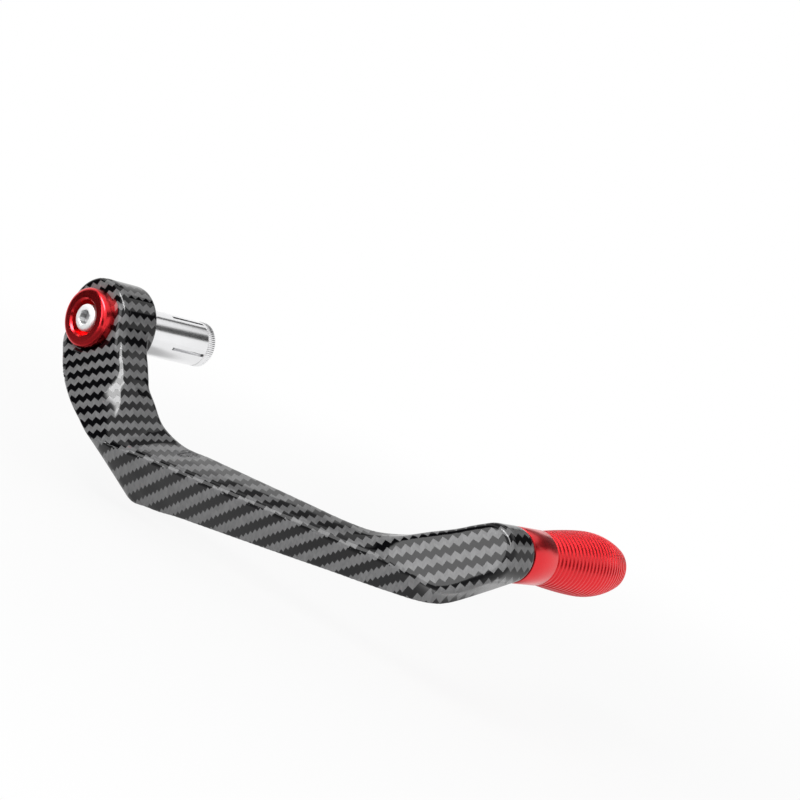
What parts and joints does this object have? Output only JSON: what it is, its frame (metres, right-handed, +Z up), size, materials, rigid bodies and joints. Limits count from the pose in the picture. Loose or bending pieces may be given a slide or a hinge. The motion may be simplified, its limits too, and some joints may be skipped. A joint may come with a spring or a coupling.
{
  "type": "brake lever guard",
  "caption": "Bent guard arm that clamps inside a handlebar's end with an expanding plug and shields the brake lever with a ribbed round tip.",
  "frame": {"origin": "on the clamp axis, at the inner face of the hub that meets the handlebar's end", "axes": "+X outboard along the clamp axis, away from the handlebar; +Y forward, from the clamp axis to the tip's axis; +Z up, towards the hollow side of the arm's bend"},
  "size_m": [0.097, 0.2119, 0.0662],
  "materials": {
    "twill_lacquer": "clear gloss lacquer over a black and grey twill print",
    "red_anodised": "red anodised, turned",
    "bolt_steel": "bright zinc plate",
    "bright_aluminium": "bright turned"
  },
  "bodies": {
    "root": {"guard_arm": "twill_lacquer", "end_cap": "red_anodised", "clamp_bolt": "bolt_steel", "expander_sleeve": "bright_aluminium", "cone_nut": "bright_aluminium", "grip_tip": "red_anodised", "tip_stud": "bolt_steel"}
  },
  "joints": []
}
